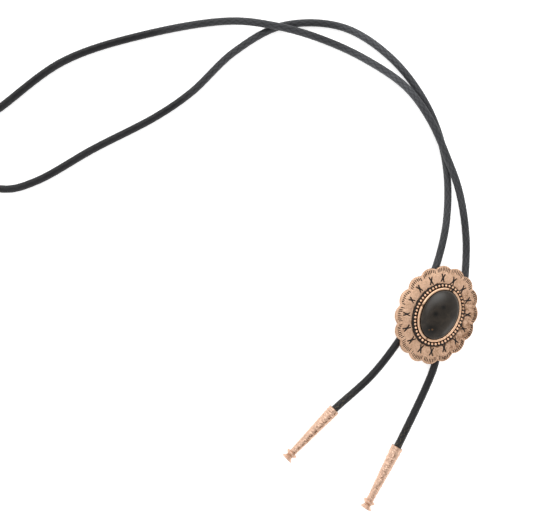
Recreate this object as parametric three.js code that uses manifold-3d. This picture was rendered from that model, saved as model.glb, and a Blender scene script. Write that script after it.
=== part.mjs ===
// A bolo tie lying on a surface: an oval stamped slide with a stone, on one round cord with two metal tips.
// Millimetres, +Z up. The origin is on the surface under the middle of the slide, whose long axis is Y.

import * as THREE from 'three';
import { mergeVertices } from 'three/addons/utils/BufferGeometryUtils.js';
import Module from 'manifold-3d';

const wasm = await Module();
wasm.setup();

// Cord
const cordDiameter = 4;
const cordSides = 10;
const cordStepInDiameters = 3;
const strandGap = 0.45;

// Clasp, on the surface, with a straight channel for each strand
const claspLength = 20;
const claspCornerRadius = 5;
const claspWall = 0.9;
const claspSideWall = 1.55;
const channelClearance = 0.45;
const channelSpacing = 20;

// Slide plate
const plateLength = 55.4;
const plateWidth = 44;
const plateThickness = 1.5;
const plateDrop = 1.2;
const plateCurve = 1.6;
const plateRings = [0.66, 0.84, 1.04];
const plateSegments = 32;
const scallops = 16;
const scallopDepth = 1.6;
const pointsInScallop = 6;
const glueGap = 0.4;

// Stone, and the bezel and bead ring around it
const stoneLength = 27.5;
const stoneWidth = 19;
const stoneGirdle = 2;
const stoneDome = 3.1;
const stoneRings = 5;
const stoneSegments = 32;
const stoneGap = 0.35;
const bezelWall = 1;
const bezelRise = 1.3;
const bezelBevel = 0.25;
const cupFloor = 0.6;
const settingHeight = 1.9;
const beadDiameter = 1.5;
const beadPitch = 1.87;
const beadLift = 0.15;
const beadGap = 0.6;
const ledgeMargin = 0.2;
const settingSegments = 40;

// Stamps, in the middle of each scallop
const crossLength = 4.5;
const crossWidth = 2.2;
const crossWaist = 0.4;
const raysInScallop = 7;
const rayLength = 1.9;
const rayInset = 0.9;
const raySpread = 0.72;
const stampWidth = 0.55;
const stampDepth = 0.4;

// Tips
const tipLength = 36;
const tipWaistDiameter = 3.4;
const tipFlangeDiameter = 6.2;
const tipFlangeThickness = 1.1;
const tipFlangeEdge = 0.35;
const tipNeckDiameter = 2.4;
const tipNeckLength = 1.3;
const tipEndDiameter = 5.6;
const tipBellLength = 2.1;
const tipBellRim = 0.35;
const tipBoreDepth = 10.5;
const tipBoreClearance = 0.4;
const tipMouthFlare = 0.1;
const tipMouthWall = 0.6;
const tipSides = 16;

// Worked out from the sizes above
const cordRadius = cordDiameter / 2;
const channelDiameter = cordDiameter + 2 * channelClearance;
const claspHeight = channelDiameter + 2 * claspWall;
const claspWidth = channelSpacing + channelDiameter + 2 * claspSideWall;
const channelHeight = claspHeight / 2;
const plateBack = claspHeight + glueGap;
const plateTop = plateBack + plateThickness;
const seatLength = stoneLength / 2 + stoneGap;
const seatWidth = stoneWidth / 2 + stoneGap;
const cupBottom = plateTop + cupFloor;
const ledgeTop = plateTop + settingHeight;
const bezelTop = ledgeTop + bezelRise;
const beadOffset = bezelWall + beadGap + beadDiameter / 2;
const settingOffset = beadOffset + beadDiameter / 2 + ledgeMargin;
const raysInside = rayInset + rayLength;
const tipBoreRadius = cordRadius + tipBoreClearance;
const tipMouthRadius = tipBoreRadius + tipMouthFlare + tipMouthWall;
const tipHeight = Math.max(tipFlangeDiameter / 2, tipMouthRadius, tipEndDiameter / 2);

// How far the cord's centre is above that of a cord that lies on the surface
const low = 0;
const inClasp = channelHeight - cordRadius;
const inTip = tipHeight - cordRadius;
const over = cordDiameter + strandGap;
const side = channelSpacing / 2;

// The cord's route, chosen by hand: [x, y, rise], from inside the left tip to inside the right one
const cordPoints = [
  [-28.2, -80.2, inTip], [-25.2, -70.6, inTip], [-15.6, -46, 0.55], [-11.4, -26, 0.9],
  [-side, -12, inClasp], [-side, 0, inClasp], [-side, 12, inClasp],
  [-11.9, 30.5, 0.7], [-18.1, 53, low], [-33.6, 81, low], [-56.5, 102.9, low], [-87.5, 117.2, low],
  [-119.5, 118.8, low], [-149, 102.4, low], [-165.2, 75.5, low], [-174.6, 43.5, low], [-184.4, 22.4, low],
  [-204.8, -10, low], [-221.6, -39, low], [-232.5, -50.2, low],
  [-247.7, -54.6, low], [-258.3, -50.4, low], [-264.4, -40.6, low], [-263.7, -28.5, low],
  [-257.6, -13.5, low], [-242.2, 24.2, low], [-213, 58.3, low], [-176, 89, 0.9], [-152.1, 98, over],
  [-126, 106.3, 0.9], [-99.3, 109, low], [-72, 105.8, 1.2], [-52, 95, 3.7], [-33, 79.6, over],
  [-18.6, 67, 2.9], [-2.9, 47.1, low], [8, 22, 0.8],
  [side, 12, inClasp], [side, 0, inClasp], [side, -12, inClasp],
  [13.4, -28, 0.8], [14.3, -72.3, inTip], [14.1, -82.3, inTip],
];

const copper = { color: 0xd8a47f, roughness: 0.38, metalness: 0.9 };
const materials = {
  concho: new THREE.MeshStandardMaterial(copper),
  tips: new THREE.MeshStandardMaterial({ ...copper, color: 0xe0b08e }),
  stone: new THREE.MeshStandardMaterial({ color: 0x1d1b1a, roughness: 0.12, metalness: 0 }),
  clasp: new THREE.MeshStandardMaterial({ color: 0xb98a6a, roughness: 0.5, metalness: 0.9 }),
  cord: new THREE.MeshStandardMaterial({ color: 0x2b2d31, roughness: 0.55, metalness: 0 }),
};

// Booleans
function solidOf(geometry) {
  const bare = geometry.index ? geometry.toNonIndexed() : geometry.clone();
  bare.deleteAttribute('normal');
  bare.deleteAttribute('uv');
  const merged = mergeVertices(bare, 1e-5);
  return new wasm.Manifold(new wasm.Mesh({
    numProp: 3,
    vertProperties: new Float32Array(merged.attributes.position.array),
    triVerts: new Uint32Array(merged.index.array),
  }));
}

function geometryOf(solid) {
  const mesh = solid.getMesh();
  const geometry = new THREE.BufferGeometry();
  geometry.setAttribute('position', new THREE.BufferAttribute(mesh.vertProperties, 3));
  geometry.setIndex(new THREE.BufferAttribute(mesh.triVerts, 1));
  geometry.computeVertexNormals();
  return geometry;
}

function piece(name, geometry, material) {
  const mesh = new THREE.Mesh(geometry, material);
  mesh.name = name;
  return mesh;
}

// A lathe whose rings are ovals: each profile point is [distance out from the oval, height]
function ovalLathe(halfLength, halfWidth, profile, segments) {
  const points = profile.map(([out, height]) => new THREE.Vector2(out === null ? 0 : halfWidth + out, height));
  const geometry = new THREE.LatheGeometry(points, segments);
  geometry.rotateX(Math.PI / 2);
  const position = geometry.attributes.position;
  for (let i = 0; i < position.count; i++) {
    const x = position.getX(i);
    const y = position.getY(i);
    const radius = Math.hypot(x, y);
    if (radius > 1e-6) position.setY(i, y * (radius + halfLength - halfWidth) / radius);
  }
  return geometry;
}

// A point of the scalloped outline: share is 0 to 1 round the plate, inset is how far inside the edge it is
function outlinePoint(share, inset = 0) {
  const place = share * scallops;
  const fromPeak = 2 * (place - Math.round(place));
  const bulge = scallopDepth * (1 - fromPeak * fromPeak) - scallopDepth - inset;
  const angle = share * 2 * Math.PI + Math.PI / 2;
  return new THREE.Vector2(
    (plateWidth / 2 + bulge) * Math.cos(angle),
    (plateLength / 2 + bulge) * Math.sin(angle),
  );
}

// The height of the plate's top: flat under the setting, then falling to the edge
function plateTopAt(x, y) {
  const flatShare = (seatWidth + settingOffset) / (plateWidth / 2);
  const share = Math.hypot(x / (plateWidth / 2), y / (plateLength / 2));
  const fall = Math.max(0, (share - flatShare) / (1 - flatShare));
  return plateTop - plateDrop * Math.pow(fall, plateCurve);
}

function domedSheet() {
  const topAt = (radius) => new THREE.Vector2(radius, plateTopAt(radius, 0));
  const top = plateRings.map((share) => topAt(share * plateWidth / 2));
  const back = top.map((point) => new THREE.Vector2(point.x, point.y - plateThickness));
  const profile = [
    new THREE.Vector2(0, plateBack), ...back, ...top.reverse(), new THREE.Vector2(0, plateTop),
  ];
  const geometry = new THREE.LatheGeometry(profile, plateSegments);
  geometry.rotateX(Math.PI / 2);
  geometry.scale(1, plateLength / plateWidth, 1);
  return solidOf(geometry);
}

function scallopedCutter() {
  const count = scallops * pointsInScallop;
  const outline = Array.from({ length: count }, (_, i) => outlinePoint(i / count));
  const depth = 2 * (plateThickness + plateDrop);
  const geometry = new THREE.ExtrudeGeometry(new THREE.Shape(outline), { depth, bevelEnabled: false });
  geometry.translate(0, 0, (plateTop + plateBack - depth - plateDrop) / 2);
  return solidOf(geometry);
}

function setting() {
  const root = plateTop - plateThickness / 2;
  const profile = [
    [null, root],
    [settingOffset, root],
    [settingOffset, ledgeTop],
    [bezelWall, ledgeTop],
    [bezelWall, bezelTop - bezelBevel],
    [bezelWall - bezelBevel, bezelTop],
    [0, bezelTop],
    [0, cupBottom],
    [null, cupBottom],
  ];
  return solidOf(ovalLathe(seatLength, seatWidth, profile, settingSegments));
}

// Points spaced evenly along an oval
function ovalPoints(halfLength, halfWidth, pitch) {
  const oval = new THREE.EllipseCurve(0, 0, halfWidth, halfLength, 0, 2 * Math.PI);
  const count = Math.round(oval.getLength() / pitch);
  return oval.getSpacedPoints(count).slice(0, count);
}

function beads() {
  const ball = new THREE.SphereGeometry(beadDiameter / 2, 9, 5);
  ball.rotateX(Math.PI / 2);
  const spots = ovalPoints(seatLength + beadOffset, seatWidth + beadOffset, beadPitch);
  return spots.map((spot) => solidOf(ball.clone().translate(spot.x, spot.y, ledgeTop + beadLift)));
}

// A stamped groove: a thin pointed bar that follows a curve on the plate's top
function groove(curve, steps) {
  const section = new THREE.Shape([
    new THREE.Vector2(0, -stampWidth / 2),
    new THREE.Vector2(stampDepth, 0),
    new THREE.Vector2(0, stampWidth / 2),
    new THREE.Vector2(-stampDepth, 0),
  ]);
  return solidOf(new THREE.ExtrudeGeometry(section, { steps, bevelEnabled: false, extrudePath: curve }));
}

function onPlate(x, y) {
  return new THREE.Vector3(x, y, plateTopAt(x, y));
}

// Two arcs that bow towards each other and meet in the middle of the scallop
function crossStamp(index) {
  const angle = (index / scallops) * 2 * Math.PI + Math.PI / 2;
  const settingEdge = new THREE.Vector2(
    (seatWidth + settingOffset) * Math.cos(angle),
    (seatLength + settingOffset) * Math.sin(angle),
  );
  const centre = outlinePoint(index / scallops, raysInside).add(settingEdge).divideScalar(2);
  const outward = outlinePoint(index / scallops).sub(centre).normalize();
  const across = new THREE.Vector2(-outward.y, outward.x);
  const at = (along, sideways) => {
    const spot = centre.clone().addScaledVector(outward, along).addScaledVector(across, sideways);
    return onPlate(spot.x, spot.y);
  };
  return [-1, 1].map((way) => {
    const arc = new THREE.QuadraticBezierCurve3(
      at(-crossLength / 2, way * crossWidth / 2),
      at(0, -way * (crossWidth - crossWaist) / 2),
      at(crossLength / 2, way * crossWidth / 2),
    );
    return groove(arc, 3);
  });
}

function rayStamps(index) {
  return Array.from({ length: raysInScallop }, (_, ray) => {
    const offset = raySpread * ((ray + 0.5) / raysInScallop - 0.5);
    const share = (index + offset) / scallops;
    const outer = outlinePoint(share, rayInset);
    const inner = outlinePoint(share, raysInside);
    return groove(new THREE.LineCurve3(onPlate(inner.x, inner.y), onPlate(outer.x, outer.y)), 1);
  });
}

function concho() {
  const plate = domedSheet().intersect(scallopedCutter());
  const body = [setting(), ...beads()].reduce((sum, part) => sum.add(part), plate);
  const stamps = Array.from({ length: scallops }, (_, i) => [...crossStamp(i), ...rayStamps(i)]).flat();
  const cut = stamps.reduce((sum, stamp) => sum.subtract(stamp), body);
  return piece('concho', geometryOf(cut), materials.concho);
}

// An oval cabochon with a straight girdle and a low dome
function stone() {
  const bottom = cupBottom + stoneGap;
  const girdle = bottom + stoneGirdle;
  const half = stoneWidth / 2;
  const dome = Array.from({ length: stoneRings }, (_, ring) => {
    const angle = (ring / stoneRings) * (Math.PI / 2);
    return new THREE.Vector2(half * Math.cos(angle), girdle + stoneDome * Math.sin(angle));
  });
  const profile = [
    new THREE.Vector2(0, bottom),
    new THREE.Vector2(half, bottom),
    ...dome,
    new THREE.Vector2(0, girdle + stoneDome),
  ];
  const geometry = new THREE.LatheGeometry(profile, stoneSegments);
  geometry.rotateX(Math.PI / 2);
  geometry.scale(1, stoneLength / stoneWidth, 1);
  return piece('stone', geometryOf(solidOf(geometry)), materials.stone);
}

function cordClasp() {
  const x = claspWidth / 2 - claspCornerRadius;
  const y = claspLength / 2 - claspCornerRadius;
  const outline = new THREE.Shape();
  outline.absarc(x, y, claspCornerRadius, 0, Math.PI / 2);
  outline.absarc(-x, y, claspCornerRadius, Math.PI / 2, Math.PI);
  outline.absarc(-x, -y, claspCornerRadius, Math.PI, 1.5 * Math.PI);
  outline.absarc(x, -y, claspCornerRadius, 1.5 * Math.PI, 2 * Math.PI);
  const block = new THREE.ExtrudeGeometry(outline, { depth: claspHeight, bevelEnabled: false, curveSegments: 6 });
  const channel = new THREE.CylinderGeometry(channelDiameter / 2, channelDiameter / 2, claspLength + 2, 16);
  const channels = [-side, side].map((place) => solidOf(channel.clone().translate(place, 0, channelHeight)));
  const body = channels.reduce((sum, part) => sum.subtract(part), solidOf(block));
  return piece('cord_clasp', geometryOf(body), materials.clasp);
}

// The cord's centreline, which never sinks into the surface
class LaidCord extends THREE.CatmullRomCurve3 {
  getPoint(share, target) {
    const point = super.getPoint(share, target);
    point.z = Math.max(point.z, cordRadius);
    return point;
  }
}

function cord() {
  const centres = cordPoints.map(([x, y, rise]) => new THREE.Vector3(x, y, cordRadius + rise));
  const route = new LaidCord(centres, false, 'centripetal');
  route.arcLengthDivisions = 2000;
  const corners = Array.from({ length: cordSides }, (_, i) => {
    const angle = ((i + 0.5) / cordSides) * 2 * Math.PI;
    return new THREE.Vector2(cordRadius * Math.cos(angle), cordRadius * Math.sin(angle));
  });
  const steps = Math.round(route.getLength() / (cordStepInDiameters * cordDiameter));
  const tube = new THREE.ExtrudeGeometry(new THREE.Shape(corners), {
    steps, bevelEnabled: false, extrudePath: route,
  });
  return piece('cord', geometryOf(solidOf(tube)), materials.cord);
}

// The tip's bark-like bands: place is a share of the taper's length, swell is added to its radius
const tipBands = [
  { place: 0.1, swell: 0.1 },
  { place: 0.2, swell: -0.12 },
  { place: 0.32, swell: 0.12 },
  { place: 0.44, swell: -0.1 },
  { place: 0.56, swell: 0.14 },
  { place: 0.68, swell: -0.08 },
  { place: 0.8, swell: 0.1 },
  { place: 0.92, swell: -0.05 },
];

function tip(name, inside, mouth) {
  const waistRadius = tipWaistDiameter / 2;
  const bellStart = tipLength - tipBellLength;
  const flangeEnd = bellStart - tipNeckLength;
  const flangeStart = flangeEnd - tipFlangeThickness;
  const flangeMiddle = (flangeStart + flangeEnd) / 2;
  const taperAt = (share) => tipMouthRadius + (waistRadius - tipMouthRadius) * share;
  const profile = [
    [0, tipBoreDepth],
    [tipBoreRadius, tipBoreDepth],
    [tipBoreRadius + tipMouthFlare, 0],
    [tipMouthRadius, 0],
    ...tipBands.map(({ place, swell }) => [taperAt(place) + swell, place * flangeStart]),
    [waistRadius, flangeStart],
    [tipFlangeDiameter / 2, flangeMiddle - tipFlangeEdge / 2],
    [tipFlangeDiameter / 2, flangeMiddle + tipFlangeEdge / 2],
    [tipNeckDiameter / 2, flangeEnd],
    [tipNeckDiameter / 2, bellStart],
    [tipEndDiameter / 2, tipLength - tipBellRim],
    [tipEndDiameter / 2, tipLength],
    [0, tipLength],
  ].map(([radius, along]) => new THREE.Vector2(radius, along));
  const mesh = piece(name, geometryOf(solidOf(new THREE.LatheGeometry(profile, tipSides))), materials.tips);
  const place = ([x, y]) => new THREE.Vector3(x, y, tipHeight);
  const along = place(inside).sub(place(mouth)).normalize();
  mesh.quaternion.setFromUnitVectors(new THREE.Vector3(0, 1, 0), along);
  mesh.position.copy(place(mouth));
  return mesh;
}

const boloTie = new THREE.Group();
boloTie.add(
  concho(),
  stone(),
  cordClasp(),
  cord(),
  tip('tip_left', cordPoints[0], cordPoints[1]),
  tip('tip_right', cordPoints.at(-1), cordPoints.at(-2)),
);

export default boloTie;
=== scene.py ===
# %% [markdown]
# # A bolo tie laid on a white table
#
# A bolo tie is one round leather cord that runs up through a clasp behind a metal slide, goes round the
# neck and comes back down, with a metal tip on each end. This lesson dresses a imported model of one. The
# imported model holds the plain solids in metres, and the pieces made here take their places, so nothing has
# to be fitted by eye.

import math
import random

import bmesh
import bpy
from mathutils import Matrix, Vector, geometry, noise


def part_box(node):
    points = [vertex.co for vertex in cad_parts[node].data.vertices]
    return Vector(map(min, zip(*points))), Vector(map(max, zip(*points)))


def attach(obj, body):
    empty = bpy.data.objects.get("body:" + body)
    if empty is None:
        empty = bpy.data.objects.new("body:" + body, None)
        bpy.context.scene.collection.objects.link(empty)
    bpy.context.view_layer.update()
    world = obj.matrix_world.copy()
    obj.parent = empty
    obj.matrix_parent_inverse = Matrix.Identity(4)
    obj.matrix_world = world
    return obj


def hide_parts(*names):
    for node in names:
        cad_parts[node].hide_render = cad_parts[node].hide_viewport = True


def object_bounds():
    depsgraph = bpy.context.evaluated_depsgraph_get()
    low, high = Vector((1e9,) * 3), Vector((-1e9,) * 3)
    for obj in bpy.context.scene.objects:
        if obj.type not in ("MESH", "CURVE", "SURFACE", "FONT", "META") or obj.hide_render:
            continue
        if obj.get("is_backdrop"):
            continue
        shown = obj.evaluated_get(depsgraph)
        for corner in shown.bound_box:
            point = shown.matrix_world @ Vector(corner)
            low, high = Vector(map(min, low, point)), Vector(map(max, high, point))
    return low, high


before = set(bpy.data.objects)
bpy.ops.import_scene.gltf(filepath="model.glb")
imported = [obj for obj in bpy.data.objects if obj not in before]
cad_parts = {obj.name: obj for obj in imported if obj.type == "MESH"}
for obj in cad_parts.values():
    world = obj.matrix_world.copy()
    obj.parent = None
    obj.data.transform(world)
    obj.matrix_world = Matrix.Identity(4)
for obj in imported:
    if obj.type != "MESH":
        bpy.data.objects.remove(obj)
solid_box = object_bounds()
MM = 0.001
print("solids:", ", ".join(sorted(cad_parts)))

# %% [markdown]
# ## The camera
#
# The tie was photographed from almost straight above, with the lens over the neck loop, so one sees a
# little of the slide's left wall. A camera turned about its own axis gives the slant of the slide across
# the picture. The focal length is kept as pixels of the picture, because that is how it was worked out, and
# turned into millimetres here. The camera's place is in millimetres and its turns are in degrees.

# %% Camera
PICTURE_WIDTH = 533
FOCAL_PIXELS = 600
SENSOR_WIDTH = 36
CAMERA_PLACE = Vector((-107.65, -51.62, 324.13))
CAMERA_ROLL = 28.6656
CAMERA_TILT = 4.5387
CAMERA_PAN = -4.8685

lens = bpy.data.cameras.new("camera")
lens.sensor_width = SENSOR_WIDTH
lens.lens = SENSOR_WIDTH * FOCAL_PIXELS / PICTURE_WIDTH
lens.clip_start = 0.01
camera = bpy.data.objects.new("camera", lens)
aim = Matrix.Rotation(math.radians(CAMERA_ROLL), 4, "Z")
aim = aim @ Matrix.Rotation(math.radians(CAMERA_TILT), 4, "X")
aim = aim @ Matrix.Rotation(math.radians(CAMERA_PAN), 4, "Y")
camera.matrix_world = Matrix.Translation(CAMERA_PLACE * MM) @ aim
bpy.context.collection.objects.link(camera)
bpy.context.scene.camera = camera
print(f"lens {lens.lens:.1f} mm, {camera.location.z * 1000:.0f} mm above the table")

# %% [markdown]
# ## From a mesh in the making to a piece
#
# The pieces are shaped in a bmesh, in millimetres because the sizes are easier to read. All but the cord
# and the beads start as a row of points that one helper spins round, as a lathe would. The other helper
# turns a finished mesh's faces outwards, scales it to metres, smooths it, puts it on the body and hides the
# solids it stands for.

# %% Helpers: spin a section, finish a piece
def spun(bm, verts, steps):
    """Spins a row of points once round the upright axis."""
    geom = verts + [bm.edges.new(pair) for pair in zip(verts, verts[1:])]
    bmesh.ops.spin(bm, geom=geom, axis=(0, 0, 1), angle=2 * math.pi, steps=steps, use_merge=True)


def finished(bm, name, material, stands_for, sharp=40):
    """Makes a piece of the bmesh that rides on the body and stands for these solids."""
    bmesh.ops.recalc_face_normals(bm, faces=bm.faces)
    bmesh.ops.scale(bm, vec=Vector((MM, MM, MM)), verts=bm.verts)
    mesh = bpy.data.meshes.new(name)
    bm.to_mesh(mesh)
    bm.free()
    mesh.shade_smooth()
    mesh.set_sharp_from_angle(angle=math.radians(sharp))
    mesh.materials.append(material)
    piece = bpy.data.objects.new(name, mesh)
    bpy.context.collection.objects.link(piece)
    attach(piece, "root")
    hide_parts(*stands_for)
    triangles = sum(len(face.vertices) - 2 for face in mesh.polygons)
    print(f"{name}: {triangles} triangles")
    return piece


# %% [markdown]
# ## Materials as small programs
#
# A material is a graph of nodes, and these helpers keep the graphs short. The first adds a node and wires
# its inputs, and the next three are the nodes that come back most often. Then come a helper that starts a
# shader node group and one that places it. A group is a part of a graph with named inputs and outputs, built
# once and placed in each material that needs the effect.

# %% Helpers: nodes and groups
def node(tree, kind, inputs=None, **settings):
    """Adds a shader node. Each input is given a value or another node's output."""
    made = tree.nodes.new("ShaderNode" + kind)
    for key, value in settings.items():
        setattr(made, key, value)
    for key, value in (inputs or {}).items():
        if isinstance(value, bpy.types.NodeSocket):
            tree.links.new(value, made.inputs[key])
        else:
            made.inputs[key].default_value = value
    return made


def maths(tree, operation, *values, clamp=False):
    """The output of a Math node."""
    return node(tree, "Math", dict(enumerate(values)), operation=operation, use_clamp=clamp).outputs[0]


def blend(tree, factor, first, second):
    """The colour between two colours."""
    return node(tree, "Mix", {0: factor, 6: first, 7: second}, data_type="RGBA").outputs[2]


def spread(tree, value, low, high, to_low=0.0, to_high=1.0):
    """Stretches the range from low to high over the range from to_low to to_high, smoothly."""
    inputs = {"Value": value, "From Min": low, "From Max": high, "To Min": to_low, "To Max": to_high}
    return node(tree, "MapRange", inputs, interpolation_type="SMOOTHSTEP").outputs["Result"]


def group(name, inputs, outputs):
    """An empty shader node group, with its input and output nodes."""
    tree = bpy.data.node_groups.new(name, "ShaderNodeTree")
    for label, kind, value in inputs:
        socket = tree.interface.new_socket(label, in_out="INPUT", socket_type="NodeSocket" + kind)
        socket.default_value = value
    for label, kind in outputs:
        tree.interface.new_socket(label, in_out="OUTPUT", socket_type="NodeSocket" + kind)
    return tree, tree.nodes.new("NodeGroupInput").outputs, tree.nodes.new("NodeGroupOutput").inputs


def placed(tree, effect, inputs):
    """Places a node group in a tree, and gives its outputs."""
    return node(tree, "Group", inputs, node_tree=effect).outputs


def material(name):
    """A new material, with its tree and its Principled shader."""
    made = bpy.data.materials.new(name)
    made.use_nodes = True
    return made, made.node_tree, made.node_tree.nodes["Principled BSDF"]


# %% [markdown]
# ## Two effects that several finishes share
#
# No real surface is the same all over. The first group, called patchy, gives slow cloudy variation and fine
# grain, for tone, roughness and relief. The second is antiquing: a maker blackens the whole casting, then
# polishes it, so the dark stays only in stamps, corners and recesses. Where those are is known from the
# modelling, which writes a value between 0 and 1 on every point. Mostly that value is soot, but in some
# places it is painted shade: beside the setting's right side, on the lip round the stone, and along the
# tips' seams, necks and barrel ends. The group breaks that value up with noise, because polish never stops
# in a clean line. A light value stains the metal brown, and a heavy one is black.

# %% Group: patchy surface
patchy, given, gives = group(
    "patchy surface",
    [("Position", "Vector", (0, 0, 0)), ("Patch Size", "Float", 0.005), ("Grain Size", "Float", 0.0004)],
    [("Patches", "Float"), ("Grain", "Float")],
)
patch_scale = maths(patchy, "DIVIDE", 1.0, given["Patch Size"])
patch_inputs = {"Vector": given["Position"], "Scale": patch_scale, "Detail": 3.0, "Roughness": 0.55}
patches = node(patchy, "TexNoise", patch_inputs).outputs["Fac"]
grain_scale = maths(patchy, "DIVIDE", 1.0, given["Grain Size"])
grain_inputs = {"Vector": given["Position"], "Scale": grain_scale, "Detail": 2.0, "Roughness": 0.6}
grain = node(patchy, "TexNoise", grain_inputs).outputs["Fac"]
patchy.links.new(spread(patchy, patches, 0.32, 0.68), gives["Patches"])
patchy.links.new(spread(patchy, grain, 0.25, 0.75), gives["Grain"])

# %% Group: antiqued metal
BLACKENED = (0.014, 0.0125, 0.012, 1)
STAINED = (0.22, 0.108, 0.053, 1)
RAGGEDNESS = 0.24
MOST_STAIN = 0.85

antiqued, given, gives = group(
    "antiqued metal",
    [
        ("Position", "Vector", (0, 0, 0)),
        ("Bright", "Color", (0.7, 0.45, 0.3, 1)),
        ("Dull", "Color", (0.5, 0.3, 0.2, 1)),
        ("Polish", "Float", 0.3),
        ("Patch Size", "Float", 0.005),
        ("Grain Size", "Float", 0.0004),
    ],
    [("Colour", "Color"), ("Roughness", "Float"), ("Metallic", "Float"), ("Height", "Float")],
)
# This value is soot, and in places painted shade.
soot_and_shade = node(antiqued, "Attribute", attribute_name="soot_and_shade").outputs["Fac"]
patchy_inputs = {label: given[label] for label in ("Position", "Patch Size", "Grain Size")}
uneven = placed(antiqued, patchy, patchy_inputs)
patches, grain = uneven["Patches"], uneven["Grain"]
swing = maths(antiqued, "MULTIPLY", maths(antiqued, "SUBTRACT", grain, 0.5), RAGGEDNESS)
ragged = maths(antiqued, "ADD", soot_and_shade, swing)
stain = spread(antiqued, ragged, 0.10, 0.52)
black = spread(antiqued, ragged, 0.42, 0.82)
cloudy = maths(antiqued, "MULTIPLY", patches, 0.4)
tone = maths(antiqued, "ADD", cloudy, maths(antiqued, "MULTIPLY", grain, 0.6))
metal = blend(antiqued, tone, given["Bright"], given["Dull"])
metal = blend(antiqued, maths(antiqued, "MULTIPLY", stain, MOST_STAIN), metal, STAINED)
antiqued.links.new(blend(antiqued, black, metal, BLACKENED), gives["Colour"])
rough = maths(antiqued, "ADD", given["Polish"], maths(antiqued, "MULTIPLY", patches, 0.06))
rough = maths(antiqued, "ADD", rough, maths(antiqued, "MULTIPLY", grain, 0.08))
rough = maths(antiqued, "ADD", rough, maths(antiqued, "MULTIPLY", black, 0.3), clamp=True)
antiqued.links.new(rough, gives["Roughness"])
bare = maths(antiqued, "SUBTRACT", 1.0, maths(antiqued, "MULTIPLY", black, 0.75))
antiqued.links.new(bare, gives["Metallic"])
antiqued.links.new(grain, gives["Height"])


# %% Materials: antiqued copper
GRAIN_DEPTH = 0.00008


def antiqued_copper(name, bright, dull, polish, patch_size, grain_size, relief):
    """Copper with blackened recesses, satin where the polish reached. The sizes are in metres."""
    made, tree, shader = material(name)
    finish = {
        "Position": node(tree, "TexCoord").outputs["Object"],
        "Bright": bright,
        "Dull": dull,
        "Polish": polish,
        "Patch Size": patch_size,
        "Grain Size": grain_size,
    }
    effect = placed(tree, antiqued, finish)
    bump = node(tree, "Bump", {"Height": effect["Height"], "Strength": relief, "Distance": GRAIN_DEPTH})
    tree.links.new(effect["Colour"], shader.inputs["Base Color"])
    tree.links.new(effect["Roughness"], shader.inputs["Roughness"])
    tree.links.new(effect["Metallic"], shader.inputs["Metallic"])
    tree.links.new(bump.outputs["Normal"], shader.inputs["Normal"])
    return made


slide_copper = antiqued_copper(
    "slide copper",
    bright=(0.87, 0.58, 0.405, 1),
    dull=(0.53, 0.33, 0.215, 1),
    polish=0.42,
    patch_size=0.005,
    grain_size=0.0008,
    relief=0.8,
)
lip_copper = antiqued_copper(
    "polished copper",
    bright=(0.92, 0.61, 0.41, 1),
    dull=(0.80, 0.51, 0.33, 1),
    polish=0.30,
    patch_size=0.002,
    grain_size=0.0006,
    relief=0.2,
)
tip_copper = antiqued_copper(
    "tip copper",
    bright=(0.79, 0.55, 0.415, 1),
    dull=(0.60, 0.39, 0.285, 1),
    polish=0.33,
    patch_size=0.0022,
    grain_size=0.0009,
    relief=0.4,
)

# %% [markdown]
# ## The cord
#
# The cord is black braided leather, 4 mm thick, so fine and worn so smooth that the braid hardly shows. It
# comes before the other pieces, because its route decides how much room the tie takes. The route is a short
# list of given points, joined by a centripetal Catmull-Rom curve. That kind of curve passes
# through every point and never loops between two of them.

# %% The cord's route: x, y, rise of the middle above a cord lying flat
CORD_RADIUS = 2.0
LOW = 0.0
IN_CLASP = 1.35
IN_TIP = 1.1
OVER = 4.45
SIDE = 10.0
ROUTE_STEP = 0.8

cord_points = [
    (-28.2, -80.2, IN_TIP), (-25.2, -70.6, IN_TIP), (-15.6, -46, 0.55), (-11.4, -26, 0.9),
    (-SIDE, -12, IN_CLASP), (-SIDE, 0, IN_CLASP), (-SIDE, 12, IN_CLASP),
    (-11.9, 30.5, 0.7), (-18.1, 53, LOW), (-33.6, 81, LOW), (-56.5, 102.9, LOW), (-87.5, 117.2, LOW),
    (-119.5, 118.8, LOW), (-149, 102.4, LOW), (-165.2, 75.5, LOW), (-174.6, 43.5, LOW), (-184.4, 22.4, LOW),
    (-204.8, -10, LOW), (-221.6, -39, LOW), (-232.5, -50.2, LOW),
    (-247.7, -54.6, LOW), (-258.3, -50.4, LOW), (-264.4, -40.6, LOW), (-263.7, -28.5, LOW),
    (-257.6, -13.5, LOW), (-242.2, 24.2, LOW), (-213, 58.3, LOW), (-176, 89, 0.9), (-152.1, 98, OVER),
    (-126, 106.3, 0.9), (-99.3, 109, LOW), (-72, 105.8, 1.2), (-52, 95, 3.7), (-33, 79.6, OVER),
    (-18.6, 67, 2.9), (-2.9, 47.1, LOW), (8, 22, 0.8),
    (SIDE, 12, IN_CLASP), (SIDE, 0, IN_CLASP), (SIDE, -12, IN_CLASP),
    (13.4, -28, 0.8), (14.3, -72.3, IN_TIP), (14.1, -82.3, IN_TIP),
]


def smooth_route(points, step):
    """Points about a step apart on a centripetal Catmull-Rom curve."""
    line = [2 * points[0] - points[1], *points, 2 * points[-1] - points[-2]]
    route = []
    for a, b, c, d in zip(line, line[1:], line[2:], line[3:]):
        before, here, after = (math.sqrt((q - p).length) for p, q in ((a, b), (b, c), (c, d)))
        leave = ((b - a) / before - (c - a) / (before + here) + (c - b) / here) * here
        arrive = ((c - b) / here - (d - b) / (here + after) + (d - c) / after) * here
        count = round((c - b).length / step) + 1
        route += geometry.interpolate_bezier(b, b + leave / 3, c - arrive / 3, c, count)[:-1]
    return [*route, points[-1]]


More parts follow.
